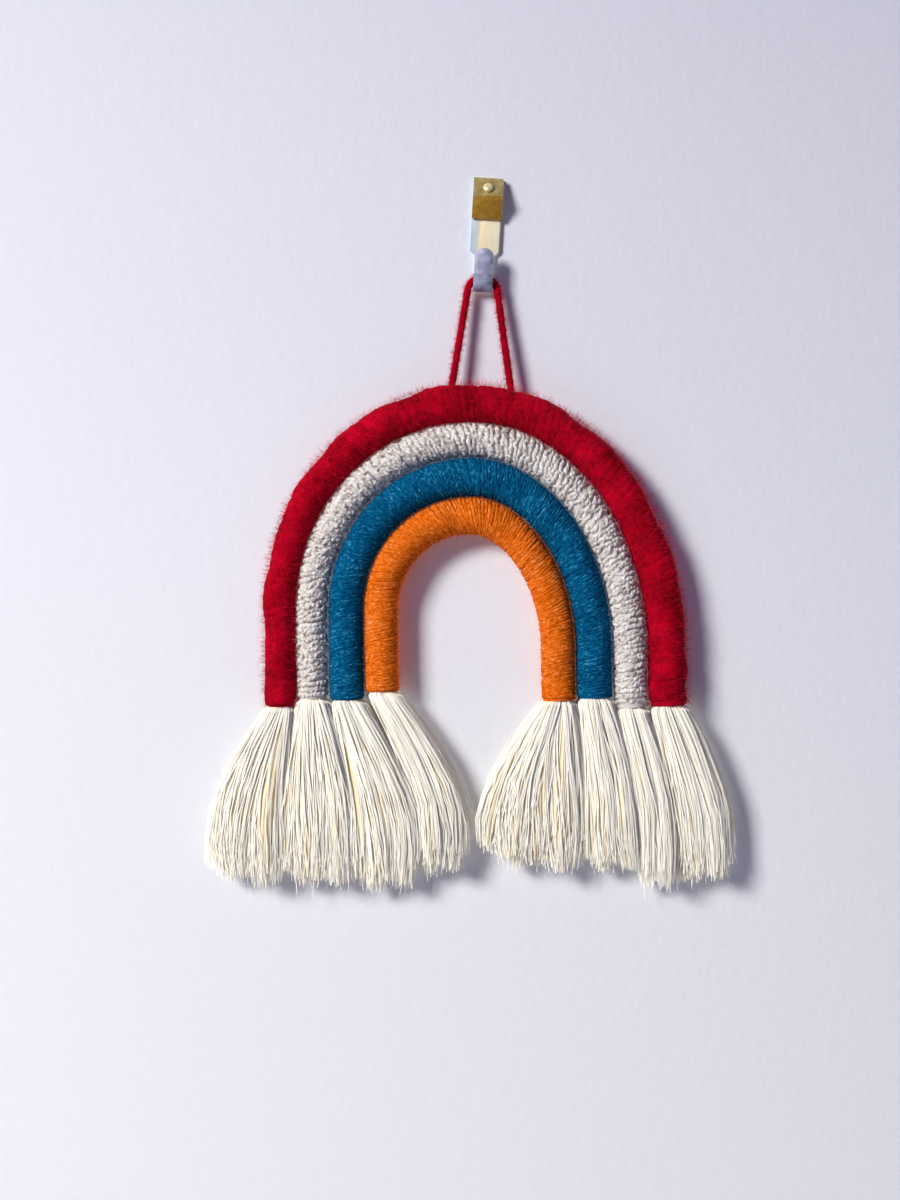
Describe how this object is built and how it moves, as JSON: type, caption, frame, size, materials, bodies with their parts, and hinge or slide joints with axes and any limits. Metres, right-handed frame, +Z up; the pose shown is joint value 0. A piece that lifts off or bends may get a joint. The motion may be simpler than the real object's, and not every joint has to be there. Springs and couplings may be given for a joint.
{
  "type": "rope rainbow wall hanging with picture hook",
  "caption": "Rope rainbow wall hanging: nested arches of rope wound with coloured yarn, with frayed cotton fringe, hung by a loop of yarn from a metal picture hook.",
  "frame": {"origin": "on the flat back of the hook's plate, where it lies on the wall, between its nail guide and its tongue", "axes": "+X to the right as seen from the front, +Y into the wall, +Z up; the front faces -Y"},
  "size_m": [0.1547, 0.0122, 0.2147],
  "materials": {
    "red_yarn": "felted wool yarn",
    "oat_yarn": "flecked plied yarn",
    "teal_yarn": "fine wool yarn",
    "orange_yarn": "fine wool yarn",
    "cotton": "undyed cotton rope strands",
    "steel": "plated strip",
    "brass": "plated strip"
  },
  "bodies": {
    "root": {"wrap_red": "red_yarn", "wrap_oat": "oat_yarn", "wrap_teal": "teal_yarn", "wrap_orange": "orange_yarn", "fringe_red_left": "cotton", "fringe_oat_left": "cotton", "fringe_teal_left": "cotton", "fringe_orange_left": "cotton", "fringe_orange_right": "cotton", "fringe_teal_right": "cotton", "fringe_oat_right": "cotton", "fringe_red_right": "cotton", "hanging_loop": "red_yarn", "hook_strip": "steel", "hook_guide": "brass", "hook_nail": "brass"}
  },
  "joints": []
}
